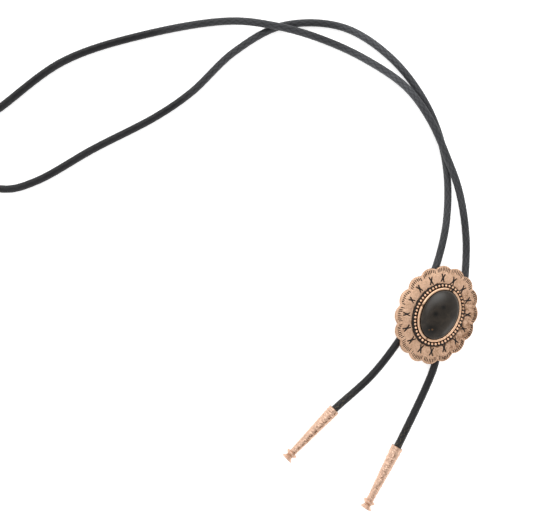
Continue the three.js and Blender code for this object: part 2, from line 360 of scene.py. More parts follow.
cord_route = smooth_route([Vector((x, y, CORD_RADIUS + rise)) for x, y, rise in cord_points], ROUTE_STEP)
for point in cord_route:
    point.z = max(point.z, CORD_RADIUS)
cord_length = sum((b - a).length for a, b in zip(cord_route, cord_route[1:]))
print(f"cord: {len(cord_route)} points, {cord_length:.0f} mm long")

# %% [markdown]
# The tube grows from one circle. Each step extrudes the ring's edges, then turns and moves the new ring
# along the route. Every point remembers where it is on the cord: the direction round it and the distance
# along it. The braid reads that, so it follows each bend.
#
# Two families of slanting strands run round the cord, one each way, and a checkerboard says which family
# lies on top. The strand on top is rounded across, and the tube's points sink a little at its sides. The
# relief is slight, because wear and polish have closed the leather up. The number of sides is a multiple of
# the strands, so each one gets the same shape.

# %% Helper: a round tube along a route
STRANDS = 6
SIDES_PER_STRAND = 6
BRAID_PITCH = 4.8
BRAID_RELIEF = 0.09


def furrow(angle, along):
    """0 on the crown of the strand on top, 1 at its sides."""
    around = angle * STRANDS / (2 * math.pi)
    rising, falling = around + along / BRAID_PITCH, around - along / BRAID_PITCH
    strand = falling if (math.floor(rising) + math.floor(falling)) % 2 else rising
    return (2 * (strand % 1) - 1) ** 2


def tube(route, radius, sides):
    """A closed round tube that keeps its place on the cord in an attribute."""
    bm = bmesh.new()
    cord_place = bm.verts.layers.float_vector.new("cord_place")
    ways = [(b - a).normalized() for a, b in zip([route[0], *route], [*route[1:], route[-1]])]
    ways[0], ways[-1] = ways[1], ways[-2]
    stand = Vector((0, 0, 1)).rotation_difference(ways[0]).to_matrix().to_4x4()
    bmesh.ops.create_circle(bm, segments=sides, radius=radius, matrix=Matrix.Translation(route[0]) @ stand)
    for vert in bm.verts:
        out = stand.inverted() @ (vert.co - route[0])
        vert[cord_place] = (out.x / radius, out.y / radius, 0)
    edges = list(bm.edges)
    bmesh.ops.contextual_create(bm, geom=edges)
    middles = {vert: route[0] for vert in bm.verts}
    along = 0
    for here, there, way, next_way in zip(route, route[1:], ways, ways[1:]):
        along += (there - here).length * MM
        made = bmesh.ops.extrude_edge_only(bm, edges=edges)["geom"]
        ring = {part for part in made if isinstance(part, bmesh.types.BMVert)}
        new_edges = [part for part in made if isinstance(part, bmesh.types.BMEdge)]
        edges = [edge for edge in new_edges if ring.issuperset(edge.verts)]
        turn = way.rotation_difference(next_way)
        for vert in ring:
            vert.co = there + turn @ (vert.co - here)
            vert[cord_place].z = along
            middles[vert] = there
    bmesh.ops.contextual_create(bm, geom=edges)
    for vert, middle in middles.items():
        place = vert[cord_place]
        sunk = BRAID_RELIEF / radius * furrow(math.atan2(place.y, place.x), place.z / MM)
        vert.co = vert.co.lerp(middle, sunk)
    return bm


# %% [markdown]
# The material does the same sum with nodes, so its colours land on the strands: the furrows are painted a
# little darker than the crowns, as painted shade. A few pale specks of dust are left on it.

# %% Material: braided leather
leather, tree, shader = material("black braided leather")
place = node(tree, "Attribute", attribute_name="cord_place").outputs["Vector"]
parts = node(tree, "SeparateXYZ", {0: place}).outputs
angle = maths(tree, "ARCTAN2", parts["Y"], parts["X"])
around = maths(tree, "MULTIPLY", angle, STRANDS / (2 * math.pi))
along = maths(tree, "DIVIDE", parts["Z"], BRAID_PITCH * MM)
rising = maths(tree, "ADD", around, along)
falling = maths(tree, "SUBTRACT", around, along)


def strand(value):
    """A rounded ridge across each strand."""
    middle = maths(tree, "SUBTRACT", maths(tree, "FRACT", value), 0.5)
    return maths(tree, "SUBTRACT", 1.0, maths(tree, "POWER", maths(tree, "MULTIPLY", middle, 2.0), 2.0))


sum_of_cells = maths(tree, "ADD", maths(tree, "FLOOR", rising), maths(tree, "FLOOR", falling))
on_top = maths(tree, "ABSOLUTE", maths(tree, "MODULO", sum_of_cells, 2.0))
ridge = blend(tree, on_top, strand(rising), strand(falling))
braid = node(tree, "RGBToBW", {0: ridge}).outputs[0]

object_place = node(tree, "TexCoord").outputs["Object"]
skin = placed(tree, patchy, {"Position": object_place, "Patch Size": 0.02, "Grain Size": 0.0006})
patches, grain = skin["Patches"], skin["Grain"]
height = maths(tree, "MULTIPLY", maths(tree, "ADD", braid, grain), 0.5)
bump = node(tree, "Bump", {"Height": height, "Strength": 0.3, "Distance": 0.0001})
specks_at = {"Vector": place, "Scale": 900.0, "Detail": 1.0}
specks = spread(tree, node(tree, "TexNoise", specks_at).outputs["Fac"], 0.70, 0.78)

# %% [markdown]
# Both strands have gone grey over the same stretch, where the slide is pushed up and down and the collar
# rubs. So wear is a function of the distance from the nearer end of the cord, in metres, and it shows most
# on top of the strands. Close to the tips the leather is frayed instead, and tan fibre shows through.

# %% Material: where the leather is worn grey
WORN_FROM = 0.055
WORN_TO = 0.385
MOST_WORN = 0.243
LESS_WORN = 0.40
FRAYED_TO = 0.03

from_other_end = maths(tree, "SUBTRACT", cord_length * MM, parts["Z"])
from_end = maths(tree, "MINIMUM", parts["Z"], from_other_end)
grows = spread(tree, from_end, WORN_FROM, WORN_FROM + 0.05)
fades = spread(tree, from_end, WORN_TO - 0.04, WORN_TO, 1.0, 0.0)
from_most = maths(tree, "ABSOLUTE", maths(tree, "SUBTRACT", from_end, MOST_WORN))
worn = maths(tree, "MULTIPLY", grows, fades)
for factor in (
    spread(tree, from_most, 0.0, 0.05, 1.0, LESS_WORN),
    maths(tree, "ADD", 0.6, maths(tree, "MULTIPLY", patches, 0.4)),
    maths(tree, "ADD", 0.55, maths(tree, "MULTIPLY", braid, 0.45)),
):
    worn = maths(tree, "MULTIPLY", worn, factor)

fray = spread(tree, from_end, 0.4 * FRAYED_TO, FRAYED_TO, 1.0, 0.0)
fray = maths(tree, "MULTIPLY", fray, spread(tree, braid, 0.7, 1.0))
fray = maths(tree, "MULTIPLY", fray, spread(tree, grain, 0.35, 0.8))

# %% Material: the leather's colour and gloss
LEATHER_BLACKS = (0.006, 0.006, 0.0075, 1), (0.017, 0.017, 0.019, 1)
WORN_GREY = (0.125, 0.13, 0.14, 1)
FURROW_SHADE = (0.003, 0.003, 0.0035, 1)
DUST_GREY = (0.10, 0.10, 0.095, 1)
FRAYED_TAN = (0.085, 0.068, 0.04, 1)

# Painted shade in the furrows between the strands.
furrow_shade = maths(tree, "MULTIPLY", maths(tree, "SUBTRACT", 1.0, braid), 0.5)
colour = blend(tree, patches, *LEATHER_BLACKS)
colour = blend(tree, worn, colour, WORN_GREY)
colour = blend(tree, furrow_shade, colour, FURROW_SHADE)
colour = blend(tree, maths(tree, "MULTIPLY", specks, 0.5), colour, DUST_GREY)
colour = blend(tree, fray, colour, FRAYED_TAN)
rough = maths(tree, "ADD", 0.38, maths(tree, "MULTIPLY", patches, 0.12))
rough = maths(tree, "ADD", rough, maths(tree, "MULTIPLY", worn, 0.2))
shader.inputs["Specular IOR Level"].default_value = 0.3
tree.links.new(colour, shader.inputs["Base Color"])
tree.links.new(rough, shader.inputs["Roughness"])
tree.links.new(bump.outputs["Normal"], shader.inputs["Normal"])

# %% The cord
cord_tube = tube(cord_route, CORD_RADIUS, SIDES_PER_STRAND * STRANDS)
cord = finished(cord_tube, "leather_cord", leather, ["cord"], sharp=60)

# %% [markdown]
# ## The slide's plate
#
# The plate is a domed oval of cast copper with sixteen scallops round its edge. A spin of its section gives
# a round disc with even rings and spokes. Then each ring is moved to its place between the setting's oval
# and the scalloped outline. Working from rings and spokes keeps the points dense where the stamps are
# pressed.

# %% Sizes of the slide, in millimetres
PLATE_LENGTH = 55.4
PLATE_WIDTH = 44.0
PLATE_THICKNESS = 1.5
PLATE_DROP = 1.2
PLATE_CURVE = 1.6
SCALLOPS = 16
SCALLOP_DEPTH = 1.6
SEAT_LENGTH = 14.1
SEAT_WIDTH = 9.85
SETTING_OUT = 3.3
BEAD_OUT = 2.35
PLATE_ROUND = math.pi * (PLATE_LENGTH + PLATE_WIDTH) / 2

BEZEL_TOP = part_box("concho")[1].z / MM
BEZEL_HEIGHT = 1.3
LEDGE_HEIGHT = 1.9
CUP_FLOOR = 0.6
LEDGE_TOP = BEZEL_TOP - BEZEL_HEIGHT
PLATE_TOP = LEDGE_TOP - LEDGE_HEIGHT
CUP_BOTTOM = PLATE_TOP + CUP_FLOOR
print(f"plate's top {PLATE_TOP:.1f} mm above the table, bezel's {BEZEL_TOP:.1f} mm")


def oval_point(share, half_width, half_length):
    """A point of an oval, share of the way round from the top."""
    angle = (share + 0.25) * 2 * math.pi
    return Vector((half_width * math.cos(angle), half_length * math.sin(angle)))


def outline(share, inset=0.0):
    """A point of the scalloped outline, this far inside the edge."""
    place = share * SCALLOPS
    from_peak = 2 * (place - round(place))
    reach = -SCALLOP_DEPTH * from_peak * from_peak - inset
    return oval_point(share, PLATE_WIDTH / 2 + reach, PLATE_LENGTH / 2 + reach)


def seat(share, out=0.0):
    """A point of the oval that holds the stone, this far outside it."""
    return oval_point(share, SEAT_WIDTH + out, SEAT_LENGTH + out)


def plate_top(x, y):
    """The plate's height: flat under the setting, then falling to the edge."""
    flat = (SEAT_WIDTH + SETTING_OUT) / (PLATE_WIDTH / 2)
    share = math.hypot(x / (PLATE_WIDTH / 2), y / (PLATE_LENGTH / 2))
    fall = max(0.0, (share - flat) / (1 - flat))
    return PLATE_TOP - PLATE_DROP * fall**PLATE_CURVE


# %% [markdown]
# ## Hand stamps
#
# Each scallop carries two kinds of stamp, struck by hand: two arcs that bow towards each other, and a fan
# of short dashes near the edge. Strikes are never quite alike, so a seeded random number sets how far each
# one is shifted, turned and driven in. The stamps at the oval's sides are a little shorter than those at
# its ends, and all the dashes lie a little off centre. A stamp is a function that says how deep the metal
# is pressed at a point.

# %% The stamps
CROSS_OUT = 3.0
CROSS_LENGTH = 4.4
CROSS_WIDTH = 1.65
CROSS_WAIST = 0.25
CROSS_BOW = 1.15
CROSS_OVERRUN = 1.1
CROSS_HALF_WIDTH = 0.6
RAYS = 8
RAY_LENGTH = 2.4
RAY_INSET = 0.8
RAY_SPREAD = 0.88
RAY_HALF_WIDTH = 0.40
SIDE_STAMPS = 0.72
OFF_CENTRE = Vector((0.3, 0.15))

random.seed(7)
scallop_stamps = []
for index in range(SCALLOPS):
    share = index / SCALLOPS
    middle = seat(share, SETTING_OUT + CROSS_OUT)
    outward = (outline(share) - middle).normalized()
    turn = Matrix.Rotation(math.radians(random.uniform(-8, 8)), 2)
    tilt = random.uniform(-0.3, 0.3)
    inset = RAY_INSET - OFF_CENTRE.dot(outward)
    size = SIDE_STAMPS + (1 - SIDE_STAMPS) * abs(outward.y)
    rays = [
        {
            "share": share + RAY_SPREAD * from_middle / SCALLOPS + random.uniform(-0.0006, 0.0006),
            "start": inset + random.uniform(-0.15, 0.2),
            "end": inset + size * RAY_LENGTH + random.uniform(-0.4, 0.2),
            "strength": random.uniform(0.8, 1.0) * (1 - 0.25 * abs(tilt - from_middle)),
        }
        for from_middle in ((ray + 0.5) / RAYS - 0.5 for ray in range(RAYS))
    ]
    scallop_stamps.append(
        {
            "middle": middle + Vector((random.uniform(-0.25, 0.25), random.uniform(-0.25, 0.25))),
            "outward": turn @ outward,
            "across": turn @ Vector((-outward.y, outward.x)),
            "length": size * CROSS_LENGTH,
            "strength": random.uniform(0.85, 1.0),
            "inner": random.uniform(0.5, 1.0),
            "rays": rays,
        }
    )


def soft_edge(distance, half_width):
    """1 in the middle of a stroke, falling smoothly to 0 at its side."""
    inside = max(0.0, 1 - abs(distance) / half_width)
    return inside * inside * (3 - 2 * inside)


def cross_depth(stamp, x, y):
    """How deep the two arcs are pressed at a point, from 0 to 1."""
    spot = Vector((x, y)) - stamp["middle"]
    along, sideways = spot.dot(stamp["outward"]), abs(spot.dot(stamp["across"]))
    travel = 2 * along / stamp["length"]
    if abs(travel) > CROSS_OVERRUN or sideways > CROSS_WIDTH:
        return 0.0
    arc = CROSS_WAIST / 2 + (CROSS_WIDTH - CROSS_WAIST) / 2 * abs(travel) ** CROSS_BOW
    ends = min(1.0, 8 * (CROSS_OVERRUN - abs(travel)))
    driven = stamp["strength"] * (1 + (1 - stamp["inner"]) * min(0.0, travel))
    return driven * ends * soft_edge(sideways - arc, CROSS_HALF_WIDTH)


def ray_depth(stamp, share, inset):
    """How deep the dashes are pressed at a point, from 0 to 1."""
    deepest = 0.0
    for ray in stamp["rays"]:
        apart = (share - ray["share"] + 0.5) % 1 - 0.5
        ends = min(1.0, 4 * (inset - ray["start"]), 4 * (ray["end"] - inset))
        if ends > 0:
            deepest = max(deepest, ray["strength"] * ends * soft_edge(apart * PLATE_ROUND, RAY_HALF_WIDTH))
    return deepest


# %% [markdown]
# The section is drawn as a row of points whose distance from the axis is just the ring's number. After the
# spin, a point's distance says which ring it is on and its direction says which spoke, and a list gives
# each ring its place. The top has the most rings, since the stamps are there.
#
# The plate is blackest in the stamps and along the setting, where the soot widens on the right into painted
# shade. Faint blotches of soot come and go, and the plate grows darker towards its right side.

# %% The plate
TOP_RINGS = 84
SPOKES = SCALLOPS * 56
PLATE_UNDERLAP = 0.3
PLATE_WAVE = 0.012
WAVE_SCALE = 0.45
STAMP_DEPTH = 0.28
STAMP_SOOT = 1.9
RIM = 0.4
RIM_SOOT = 0.26
MOST_SETTING_SOOT_AND_SHADE = 0.85
SETTING_SOOT_AND_SHADE_WIDTH = 1.2
DARKER_TO_RIGHT = 0.018

rings = [{"part": "back", "travel": travel} for travel in (0.0, 0.5, 1.0)]
rings += [{"part": "rim", "turn": turn} for turn in (-90, -60, -30, 0, 20, 45, 70)]
rings += [{"part": "top", "travel": 1 - ring / TOP_RINGS} for ring in range(TOP_RINGS + 1)]


def rim_point(share, turn):
    """A point of the rounded edge, with its height below the plate's top there."""
    slope = math.radians(turn)
    edge = outline(share, RIM * (1 - math.cos(slope)))
    drop = RIM * (1 - math.sin(slope)) if turn > 0 else PLATE_THICKNESS - RIM * (1 + math.sin(slope))
    return edge, drop


def plate_soot_and_shade(spot, share, pressed, wander):
    """How blackened the plate's top is at a point, painted shade by the setting included."""
    from_setting = (spot - seat(share, SETTING_OUT)).length
    # Soot at the setting's foot, widening on the right side into painted shade.
    setting_soot_and_shade = MOST_SETTING_SOOT_AND_SHADE * soft_edge(from_setting, SETTING_SOOT_AND_SHADE_WIDTH + 0.5 * wander + 0.6 * spot.x / SEAT_WIDTH)
    # Faint blotches, and a darkening that grows towards the plate's right side.
    blotches_and_darker_right = max(0.0, DARKER_TO_RIGHT * spot.x * (0.95 + 0.8 * wander), 0.3 * wander - 0.05)
    return min(1.0, max(STAMP_SOOT * pressed, setting_soot_and_shade + blotches_and_darker_right))


def plate_point(ring, share):
    """Where a ring crosses a spoke, and how blackened the metal is there."""
    if ring["part"] == "rim":
        spot, drop = rim_point(share, ring["turn"])
        return (spot.x, spot.y, plate_top(spot.x, spot.y) - drop), RIM_SOOT
    spot = seat(share, SETTING_OUT - PLATE_UNDERLAP).lerp(outline(share, RIM), ring["travel"])
    if ring["part"] == "back":
        return (spot.x, spot.y, plate_top(spot.x, spot.y) - PLATE_THICKNESS), 0.0
    stamp = scallop_stamps[round(share * SCALLOPS) % SCALLOPS]
    inset = (outline(share) - spot).length
    pressed = max(cross_depth(stamp, spot.x, spot.y), ray_depth(stamp, share, inset))
    wander = noise.noise(Vector((spot.x, spot.y, 0)) * WAVE_SCALE)
    height = plate_top(spot.x, spot.y) - STAMP_DEPTH * pressed + PLATE_WAVE * wander
    return (spot.x, spot.y, height), plate_soot_and_shade(spot, share, pressed, wander)


bm = bmesh.new()
soot_and_shade = bm.verts.layers.float.new("soot_and_shade")
spun(bm, [bm.verts.new((number + 1, 0, 0)) for number in range(len(rings))], SPOKES)
for vert in bm.verts:
    ring = rings[round(math.hypot(vert.co.x, vert.co.y)) - 1]
    share = (math.atan2(vert.co.y, vert.co.x) / (2 * math.pi) - 0.25) % 1
    vert.co, vert[soot_and_shade] = plate_point(ring, share)
bmesh.ops.holes_fill(bm, edges=[edge for edge in bm.edges if edge.is_boundary], sides=0)
finished(bm, "slide_plate", slide_copper, ["concho"])

# %% [markdown]
# ## The setting
#
# The stone sits in a raised oval cup, called a bezel, inside a sunk ring of beads. All of it has one
# section, so that is spun and then stretched to an oval. Each row of the section has its soot too: the ring
# that holds the beads is black, and the bezel's lip, where a thumb rubs, is bright. The lip's inner slope
# is painted black, as painted shade of the gap round the stone.

# %% Helper: an oval lathe
SAME_PLACE = 1e-4
ON_AXIS = 1e-3


def oval_lathe(section, half_length, half_width, steps):
    """Spins rows of distance outside the oval, height, and soot with any painted shade. None puts a row's
    point on the axis.
    """
    bm = bmesh.new()
    soot_and_shade = bm.verts.layers.float.new("soot_and_shade")
    verts = []
    for out, height, black in section:
        vert = bm.verts.new((0 if out is None else half_width + out, 0, height))
        vert[soot_and_shade] = black
        verts.append(vert)
    spun(bm, verts, steps)
    bmesh.ops.remove_doubles(bm, verts=bm.verts, dist=SAME_PLACE)
    for vert in bm.verts:
        radius = math.hypot(vert.co.x, vert.co.y)
        if radius > ON_AXIS:
            vert.co.y *= (radius + half_length - half_width) / radius
    return bm


# %% The setting: distance outside the seat, height, soot and painted shade
section = [
    (None, PLATE_TOP - 0.6, 1.0),
    (SETTING_OUT - 0.1, PLATE_TOP - 0.6, 1.0),
    (SETTING_OUT + 0.10, PLATE_TOP - 0.1, 1.0),
    (SETTING_OUT + 0.04, PLATE_TOP + 0.3, 1.0),
    (SETTING_OUT, PLATE_TOP + 1.2, 0.95),
    (SETTING_OUT - 0.03, LEDGE_TOP - 0.25, 0.9),
    (SETTING_OUT - 0.12, LEDGE_TOP - 0.08, 0.8),
    (SETTING_OUT - 0.28, LEDGE_TOP - 0.05, 0.9),
    (BEAD_OUT + 0.6, LEDGE_TOP - 0.25, 1.0),
    (BEAD_OUT, LEDGE_TOP - 0.35, 1.0),
    (BEAD_OUT - 0.7, LEDGE_TOP - 0.3, 1.0),
    (1.46, LEDGE_TOP - 0.2, 1.0),
    (1.3, LEDGE_TOP, 0.8),
    (1.26, LEDGE_TOP + 0.35, 0.3),
    (1.24, BEZEL_TOP - 0.55, 0.05),
    (1.16, BEZEL_TOP - 0.3, 0.0),
    (0.96, BEZEL_TOP - 0.1, 0.0),
    (0.6, BEZEL_TOP, 0.0),
    (0.32, BEZEL_TOP - 0.02, 0.0),
    (0.1, BEZEL_TOP - 0.1, 0.0),
    # The lip's inner slope: painted shade of the gap round the stone.
    (-0.03, BEZEL_TOP - 0.2, 0.2),
    (-0.13, BEZEL_TOP - 0.34, 0.95),
    (-0.26, BEZEL_TOP - 0.5, 1.0),
    (-0.24, BEZEL_TOP - 0.65, 1.0),
    (0.0, BEZEL_TOP - 1.0, 1.0),
    (0.0, CUP_BOTTOM, 1.0),
    (None, CUP_BOTTOM, 1.0),
]
SETTING_STEPS = 240
bm = oval_lathe(section, SEAT_LENGTH, SEAT_WIDTH, SETTING_STEPS)

# %% [markdown]
# A bezel is pushed over the stone by hand, so its lip is a little uneven and has a few nicks. A nick is a
# place on the oval, in degrees from the right-hand side, with a reach along the lip, a depth and its soot.

# %% The lip's unevenness and nicks
LIP_WAVE = 0.05
nicks = [
    {"at": 88, "reach": 8, "depth": 0.22, "black": 0.95},
    {"at": 97, "reach": 5, "depth": 0.14, "black": 0.7},
    {"at": 180, "reach": 6, "depth": 0.16, "black": 0.65},
    {"at": -92, "reach": 8, "depth": 0.12, "black": 0.5},
    {"at": -35, "reach": 5, "depth": 0.08, "black": 0.35},
]
soot_and_shade = bm.verts.layers.float["soot_and_shade"]
for vert in bm.verts:
    if vert.co.z > LEDGE_TOP + 0.2:
        at = math.degrees(math.atan2(vert.co.y / SEAT_LENGTH, vert.co.x / SEAT_WIDTH))
        vert.co.z += LIP_WAVE * noise.noise(vert.co * 0.6)
        for nick in nicks:
            apart = (at - nick["at"] + 180) % 360 - 180
            pushed = soft_edge(apart, nick["reach"])
            vert.co.z -= nick["depth"] * pushed
            vert[soot_and_shade] = max(vert[soot_and_shade], nick["black"] * pushed)
finished(bm, "setting", lip_copper, ["concho"])

# %% [markdown]
# ## The beads
#
# The bead ring is cast with the setting, as a row of small domes, and a small ball stands for each. The
# balls are set a constant distance apart along the oval, not a constant angle, or they would bunch at its
# ends. Their sides stay black, and only the crowns are polished, less so on the side that the polishing
# wheel missed.

# %% The beads
BEAD_RADIUS = 0.75
BEAD_PITCH = 1.87
POLISHED_ABOVE = 0.55
POLISH_FADE = 0.35
MOST_DULL = 0.3
DULL_SIDE = Vector((0.66, 0.75, 0))
OVAL_STEPS = 3600


def along_oval(half_length, half_width, pitch):
    """Points a constant distance apart round an oval."""
    angles = [step * 2 * math.pi / OVAL_STEPS for step in range(OVAL_STEPS)]
    fine = [Vector((half_width * math.cos(angle), half_length * math.sin(angle), 0)) for angle in angles]
    lengths = [0.0]
    for a, b in zip(fine, fine[1:]):
        lengths.append(lengths[-1] + (b - a).length)
    count = round(lengths[-1] / pitch)
    wanted = [lengths[-1] * number / count for number in range(count)]
    return [fine[min(range(OVAL_STEPS), key=lambda step: abs(lengths[step] - want))] for want in wanted]


bm = bmesh.new()
soot_and_shade = bm.verts.layers.float.new("soot_and_shade")
spots = along_oval(SEAT_LENGTH + BEAD_OUT, SEAT_WIDTH + BEAD_OUT, BEAD_PITCH)
for spot in spots:
    size = BEAD_RADIUS * random.uniform(0.93, 1.03)
    middle = spot + Vector((random.uniform(-0.05, 0.05), random.uniform(-0.05, 0.05), LEDGE_TOP + 0.1))
    ball = bmesh.ops.create_icosphere(bm, subdivisions=3, radius=size, matrix=Matrix.Translation(middle))
    less_polished = random.uniform(0.0, 0.12)
    dull = MOST_DULL * max(0.0, spot.normalized().dot(DULL_SIDE)) ** 2
    for vert in ball["verts"]:
        rise = (vert.co.z - middle.z) / size
        vert[soot_and_shade] = min(1.0, max(0.0, (POLISHED_ABOVE + less_polished - rise) / POLISH_FADE) + dull)
finished(bm, "bead_ring", lip_copper, ["concho"])
print(f"{len(spots)} beads")

# %% [markdown]
# ## The stone
#
# A cabochon is a stone cut with a flat back, a straight side called the girdle, and a polished dome. The
# dome's section follows a quarter of an ellipse, and it is spun and stretched as the setting was. The
# material has to do more: a black stone is never just black. Warm brown clouds lie under the polish. Over
# them lies painted light: a lighter patch that is a painted highlight, a few darker spots that are painted
# reflections, and two small brown painted glints.

# %% The stone's shape
STONE_OUT = -0.35
STONE_BACK = CUP_BOTTOM + 0.35
STONE_CHAMFER = 0.3
GIRDLE = 2.0
GIRDLE_TOP = STONE_BACK + GIRDLE
DOME = 3.1
DOME_DEGREES = 4
STONE_HALF_WIDTH = SEAT_WIDTH + STONE_OUT
STONE_STEPS = 160

section = [(None, STONE_BACK, 0.0)]
section += [(STONE_OUT - STONE_CHAMFER, STONE_BACK, 0.0)]
section += [(STONE_OUT, STONE_BACK + STONE_CHAMFER, 0.0)]
for turn in range(0, 90, DOME_DEGREES):
    slope = math.radians(turn)
    out = STONE_OUT - STONE_HALF_WIDTH * (1 - math.cos(slope))
    section.append((out, GIRDLE_TOP + DOME * math.sin(slope), 0.0))
section.append((None, GIRDLE_TOP + DOME, 0.0))

# %% Material: polished black stone
STONE_BROWNS = (0.019, 0.0145, 0.0105, 1), (0.037, 0.028, 0.020, 1)
# Painted light on the stone: a painted highlight, painted dark reflections and two painted glints.
PAINTED_HIGHLIGHTS_AND_REFLECTIONS = [
    {"x": -5.5, "y": 8.5, "size": 7.5, "shade": (0.058, 0.054, 0.050, 1)},
    {"x": -3.1, "y": -1.2, "size": 2.6, "shade": (0.0, 0.0, 0.0, 1)},
    {"x": -1.5, "y": -9.6, "size": 5.0, "shade": (0.001, 0.0005, 0.0, 1)},
    {"x": -0.9, "y": 4.0, "size": 2.0, "shade": (0.004, 0.004, 0.004, 1)},
    {"x": -0.9, "y": -9.3, "size": 0.8, "shade": (0.15, 0.075, 0.03, 1)},
    {"x": -2.2, "y": -10.2, "size": 0.7, "shade": (0.09, 0.05, 0.02, 1)},
]

onyx, tree, shader = material("polished black stone")
place = node(tree, "TexCoord").outputs["Object"]
clouds_at = {"Vector": place, "Scale": 170.0, "Detail": 4.0, "Roughness": 0.6, "Distortion": 0.6}
clouds = spread(tree, node(tree, "TexNoise", clouds_at).outputs["Fac"], 0.35, 0.7)
colour = blend(tree, clouds, *STONE_BROWNS)


def spot_mask(x, y, size):
    """1 at a place on the stone, falling to 0 at this distance from it, all in millimetres."""
    away = node(tree, "VectorMath", {0: place, 1: (x * MM, y * MM, GIRDLE_TOP * MM)}, operation="SUBTRACT")
    flat = node(tree, "VectorMath", {0: away.outputs[0], 1: (1, 1, 0)}, operation="MULTIPLY").outputs[0]
    reach = node(tree, "VectorMath", {0: flat}, operation="LENGTH").outputs["Value"]
    return spread(tree, reach, 0.0, size * MM, 1.0, 0.0)


for painted_light in PAINTED_HIGHLIGHTS_AND_REFLECTIONS:
    mask = maths(tree, "MULTIPLY", spot_mask(painted_light["x"], painted_light["y"], painted_light["size"]), 0.95)
    colour = blend(tree, mask, colour, painted_light["shade"])
scratches_at = {"Vector": place, "Scale": 2500.0, "Detail": 2.0}
scratches = node(tree, "TexNoise", scratches_at).outputs["Fac"]
tree.links.new(colour, shader.inputs["Base Color"])
tree.links.new(spread(tree, scratches, 0.3, 0.8, 0.12, 0.20), shader.inputs["Roughness"])
shader.inputs["Specular IOR Level"].default_value = 0.33

bm = oval_lathe(section, SEAT_LENGTH, SEAT_WIDTH, STONE_STEPS)
finished(bm, "cabochon", onyx, ["stone"])

# %% [markdown]
# ## The tips
#
# Each tip is a tapered cast barrel that the cord is glued into, with a thin collar and a small bell at its
# end. The barrel looks like bark. A seam runs down each side with a pit at every joint, and short cross
# grooves lie between the seams. The barrel is spun from a fine section, and then each point is pushed in or
# out along its own radius. Soot gathers in the pits, grooves and hollows. It is heavier near the seams, and
# that extra dark is painted shade, turned by each tip's roll to the barrel's shaded side.

# %% Sizes of a tip, in millimetres
TIP_LENGTH = 36.0
TIP_MOUTH_RADIUS = 3.1
TIP_WAIST_RADIUS = 1.78
TIP_BARREL = 31.5
TIP_BORE_RADIUS = 2.42
TIP_BORE_DEPTH = 10.5
TIP_HEIGHT = 3.1
BARREL_ROWS = 180
TIP_STEPS = 112

end_section = [
    (TIP_WAIST_RADIUS, TIP_BARREL),
    (2.1, TIP_BARREL + 0.02),
    (2.85, TIP_BARREL + 0.12),
    (3.05, TIP_BARREL + 0.25),
    (3.1, TIP_BARREL + 0.45),
    (3.1, TIP_BARREL + 0.7),
    (3.02, TIP_BARREL + 0.9),
    (2.75, TIP_BARREL + 1.25),
    (2.3, TIP_BARREL + 1.6),
    (1.9, TIP_BARREL + 1.9),
    (1.7, TIP_BARREL + 2.15),
    (1.67, TIP_BARREL + 2.4),
    (1.82, TIP_BARREL + 2.7),
    (2.1, TIP_BARREL + 3.05),
    (2.42, TIP_BARREL + 3.45),
    (2.7, TIP_BARREL + 3.8),
    (2.92, TIP_BARREL + 4.05),
    (3.0, TIP_BARREL + 4.2),
    (3.0, TIP_BARREL + 4.35),
    (2.9, TIP_LENGTH),
    (0, TIP_LENGTH),
]
mouth_section = [
    (0, TIP_BORE_DEPTH),
    (TIP_BORE_RADIUS, TIP_BORE_DEPTH),
    (TIP_BORE_RADIUS, 1.0),
    (TIP_BORE_RADIUS + 0.1, 0.3),
    (2.62, 0.05),
    (2.8, 0.0),
    (3.0, 0.06),
    (TIP_MOUTH_RADIUS, 0.25),
]


# %% The bark
PIT_PITCH = 3.3
PIT_HALF_LENGTH = 1.3
PIT_HALF_WIDTH = 0.95
PIT_DEPTH = 0.22
PIT_SOOT = 0.5
SEAM_HALF_WIDTH = 0.6
SEAM_DEPTH = 0.04
SEAM_SOOT = 0.07
GROOVE_PITCH = 1.15
GROOVE_HALF_WIDTH = 0.5
GROOVE_DEPTH = 0.20
GROOVE_SOOT = 0.26
LUMP_HEIGHT = 0.32
HOLLOW_SOOT = 0.25
SEAM_SHADE_REACH = 2.6
MOST_BARK_SOOT = 0.43
BARREL_END_SOOT_AND_SHADE = 0.6


def barrel_radius(along):
    """The barrel's plain radius, this far from its mouth."""
    return TIP_MOUTH_RADIUS + (TIP_WAIST_RADIUS - TIP_MOUTH_RADIUS) * along / TIP_BARREL


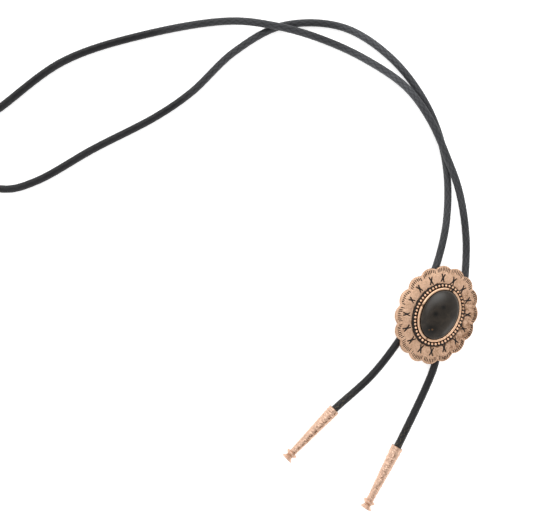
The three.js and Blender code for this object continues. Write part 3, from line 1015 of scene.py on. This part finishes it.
def bark(angle, along, seed):
    """How far the barrel's surface is pushed out, and how blackened it is, painted shade near the seams
    included.
    """
    radius = barrel_radius(along)
    wander = noise.noise(Vector((math.cos(angle) * 1.5, math.sin(angle) * 1.5, along * 0.35 + seed)))
    half_turn = (angle / math.pi + 0.5) % 1 - 0.5
    from_seam = (half_turn * math.pi + 0.12 * noise.noise(Vector((0, 0, along * 0.5 + seed)))) * radius
    joint = along / PIT_PITCH + 0.5 * (abs(angle - math.pi) < math.pi / 2) + 0.2 * wander
    from_joint = abs(joint - round(joint)) * PIT_PITCH
    depth = 0.7 + 0.5 * noise.noise(Vector((round(joint) * 3.7, seed, 0)))
    pit = soft_edge(from_joint, PIT_HALF_LENGTH) * soft_edge(from_seam, PIT_HALF_WIDTH) * depth
    seam = soft_edge(from_seam, SEAM_HALF_WIDTH)
    from_groove = ((along + 0.9 * wander) / GROOVE_PITCH % 1 - 0.5) * GROOVE_PITCH
    groove = soft_edge(from_groove, GROOVE_HALF_WIDTH)
    groove *= max(0.0, 0.5 + 1.1 * noise.noise(Vector((angle * 1.1, along * 0.7, seed + 5))))
    lump = noise.noise(Vector((math.cos(angle) * 2.2, math.sin(angle) * 2.2, along * 1.1 + seed + 9)))
    fade = min(1.0, along / 1.2, (TIP_BARREL - along) / 0.8) * (1 - 0.3 * along / TIP_BARREL)
    push = (LUMP_HEIGHT * lump - GROOVE_DEPTH * groove - PIT_DEPTH * pit - SEAM_DEPTH * seam) * fade
    # Extra dark near the seams is painted shade on the barrel's shaded side.
    seam_shade = soft_edge(from_seam, SEAM_SHADE_REACH)
    black = PIT_SOOT * pit + (GROOVE_SOOT + 0.14 * seam_shade) * groove + SEAM_SOOT * seam
    black += (HOLLOW_SOOT + 0.3 * seam_shade) * max(0.0, -lump - 0.05)
    black = min(MOST_BARK_SOOT, black) * min(1.0, fade * 1.3)
    # A dark line at both ends of the barrel: soot and painted shade where it meets the mouth and the collar.
    at_ends = max(soft_edge(along, 0.5), soft_edge(TIP_BARREL - along, 0.5))
    return min(push, TIP_MOUTH_RADIUS - radius), max(black, BARREL_END_SOOT_AND_SHADE * at_ends)


# %% [markdown]
# One function makes both tips. A point within a quarter of a millimetre of the plain barrel is on its skin
# and gets the bark. The rest is the bore, black inside and dull at the lip, and the collar and bell, with a
# neck between them. The neck and both ends of the barrel are darkened with soot and painted shade. The
# left tip's marks are darker than the right tip's.

# %% The tips
SKIN = 0.25
MOUTH_LIP = 0.2
MOUTH_SOOT = 0.45
NECK_FROM = TIP_BARREL + 1.8
NECK_TO = TIP_BARREL + 2.8
NECK_SOOT_AND_SHADE = 0.32


def tip(name, node_name, mouth, inside, roll, seed, marks):
    """A tip whose mouth is at one point of the cord's route and whose end lies towards another."""
    lengths = [TIP_BARREL * row / BARREL_ROWS for row in range(2, BARREL_ROWS)]
    rows = mouth_section + [(barrel_radius(along), along) for along in lengths] + end_section
    bm = bmesh.new()
    soot_and_shade = bm.verts.layers.float.new("soot_and_shade")
    spun(bm, [bm.verts.new((radius, 0, along)) for radius, along in rows], TIP_STEPS)
    bmesh.ops.remove_doubles(bm, verts=bm.verts, dist=SAME_PLACE)
    for vert in bm.verts:
        radius, along = math.hypot(vert.co.x, vert.co.y), vert.co.z
        if MOUTH_LIP < along < TIP_BARREL and radius > barrel_radius(along) - SKIN:
            push, black = bark(math.atan2(vert.co.y, vert.co.x) % (2 * math.pi), along, seed)
            vert.co.xy *= (radius + push) / radius
            vert[soot_and_shade] = black * marks
        elif along < MOUTH_LIP:
            vert[soot_and_shade] = MOUTH_SOOT
        elif along < TIP_BORE_DEPTH + SKIN:
            vert[soot_and_shade] = 1.0
        # The neck between collar and bell: soot and painted shade.
        elif NECK_FROM < along < NECK_TO:
            vert[soot_and_shade] = NECK_SOOT_AND_SHADE
    aim = (inside - mouth).normalized()
    side = Vector((0, 0, 1)).cross(aim).normalized()
    turned = Matrix((side.cross(aim), side, aim)).transposed().to_4x4()
    place = Matrix.Translation(mouth) @ turned @ Matrix.Rotation(math.radians(roll), 4, "Z")
    bmesh.ops.transform(bm, matrix=place, verts=bm.verts)
    return finished(bm, name, tip_copper, [node_name])


def on_route(number):
    """A point of the cord's list, at the height of the tips' axis."""
    x, y, _ = cord_points[number]
    return Vector((x, y, TIP_HEIGHT))


left_tip = tip("left_tip", "tip_left", on_route(1), on_route(0), roll=-17, seed=3, marks=1.15)
right_tip = tip("right_tip", "tip_right", on_route(-2), on_route(-1), roll=4, seed=21, marks=0.75)

# %% [markdown]
#

# %% [markdown]
# ## The clasp behind the slide
#
# Nobody sees the clasp from the front. It is a plain block with two channels for the cord, and it shows
# only from below and between the slide and the table. The block's own solid is right already, so it keeps
# its shape and gets a finish: copper that is duller and darker than the front.

# %% The clasp
clasp_copper = antiqued_copper(
    "clasp copper",
    bright=(0.42, 0.27, 0.18, 1),
    dull=(0.33, 0.205, 0.135, 1),
    polish=0.42,
    patch_size=0.006,
    grain_size=0.0006,
    relief=0.6,
)
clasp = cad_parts["cord_clasp"]
clasp.data.materials.clear()
clasp.data.materials.append(clasp_copper)

# %% [markdown]
# ## Table and light
#
# The picture is high-key: the table is so bright that it is pure white, and shadows nearly vanish. An even
# white sky gives that, and the table glows a little of its own. The sky is brighter in two soft places: a
# large one at the upper left lights the top of the stone and the left of the tips, and a small low one at
# the right puts an edge on the metal. It is darker straight above, where the camera would be, and that
# keeps the middle of the stone black.

# %% Table
TABLE_HALF_SIZE = 3.0
TABLE_WHITE = 0.8
TABLE_GLOW = 0.65

bm = bmesh.new()
bmesh.ops.create_grid(bm, x_segments=1, y_segments=1, size=TABLE_HALF_SIZE)
mesh = bpy.data.meshes.new("table")
bm.to_mesh(mesh)
bm.free()
table = bpy.data.objects.new("table", mesh)
white, tree, shader = material("white table")
shader.inputs["Base Color"].default_value = (TABLE_WHITE, TABLE_WHITE, TABLE_WHITE, 1)
shader.inputs["Roughness"].default_value = 0.9
shader.inputs["Specular IOR Level"].default_value = 0.1
shader.inputs["Emission Color"].default_value = (1, 1, 1, 1)
shader.inputs["Emission Strength"].default_value = TABLE_GLOW
mesh.materials.append(white)
bpy.context.collection.objects.link(table)
table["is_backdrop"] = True

# %% Light
SKY_STRENGTH = 0.9
GLOWS = [
    {"from": (-0.48, 0.52, 0.71), "edge": 0.80, "strength": 1.6},
    {"from": (0.92, -0.02, 0.39), "edge": 0.95, "strength": 1.4},
    {"from": (0.22, 0.10, 0.97), "edge": 0.78, "strength": -0.36},
]

sky = bpy.data.worlds.new("sky")
sky.use_nodes = True
tree = sky.node_tree
towards = node(tree, "TexCoord").outputs["Generated"]
strength = SKY_STRENGTH
for glow in GLOWS:
    inputs = {0: towards, 1: glow["from"]}
    facing = node(tree, "VectorMath", inputs, operation="DOT_PRODUCT").outputs["Value"]
    glowing = spread(tree, facing, glow["edge"], 1.0, 0.0, glow["strength"])
    strength = maths(tree, "ADD", strength, glowing)
tree.nodes["Background"].inputs["Color"].default_value = (1, 1, 1, 1)
tree.links.new(strength, tree.nodes["Background"].inputs["Strength"])
bpy.context.scene.world = sky
bpy.context.scene.view_settings.view_transform = "Standard"

# %% [markdown]
# ## Measure and finish
#
# The sizes of the imported solids' box and of the dressed tie's box are printed, in millimetres. The
# dressed tie must stay inside the imported solids' box, give or take a few per cent.

# %% Finish
dressed_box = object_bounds()
boxes = {
    name: [[float(number) for number in corner] for corner in box]
    for name, box in (("solid", solid_box), ("dressed", dressed_box))
}
for name, (low, high) in boxes.items():
    print(name, [round(1000 * (b - a), 2) for a, b in zip(low, high)], "mm")
